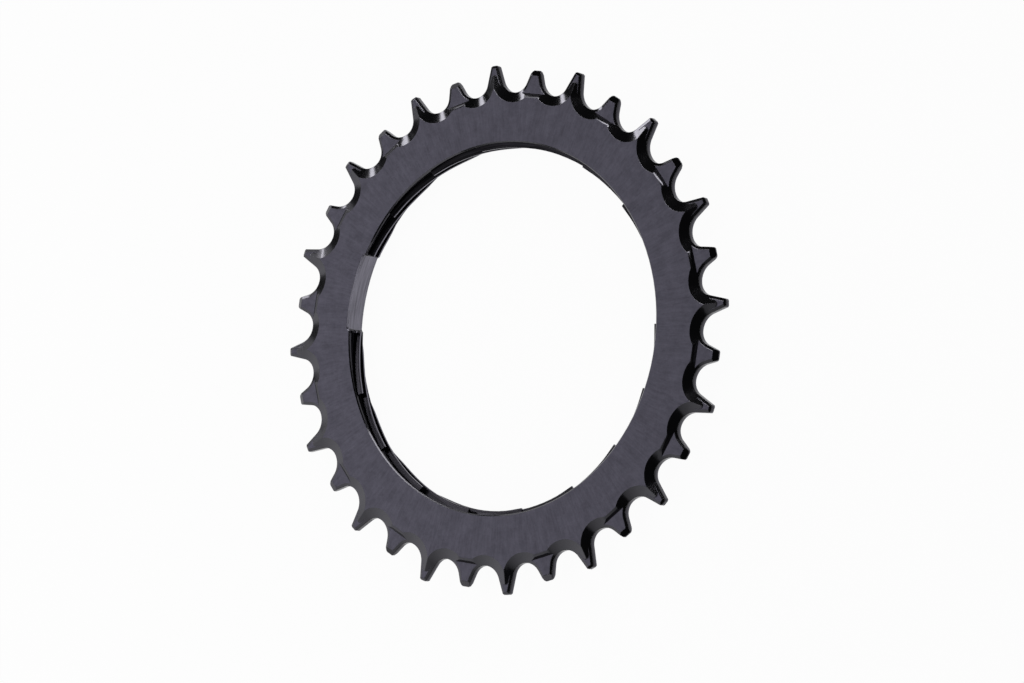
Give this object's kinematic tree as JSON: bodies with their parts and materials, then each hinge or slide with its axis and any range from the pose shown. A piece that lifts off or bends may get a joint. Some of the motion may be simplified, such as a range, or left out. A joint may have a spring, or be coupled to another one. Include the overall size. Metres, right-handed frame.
{
  "type": "bicycle chainring",
  "caption": "Flat bicycle chainring with alternating wide and narrow teeth and a coarse threaded bore that screws onto a crank's spider.",
  "frame": {"origin": "on the ring axis, in the plane of the hub's back face, on which the ring lies", "axes": "+Z along the ring axis, out of the front face; +Y towards the top of the ring in the picture"},
  "size_m": [0.1362, 0.1362, 0.0063],
  "materials": {
    "anodised_aluminium": "black anodised, finely brushed faces and bright milled bevels"
  },
  "bodies": {
    "root": {"chainring": "anodised_aluminium"}
  },
  "joints": []
}
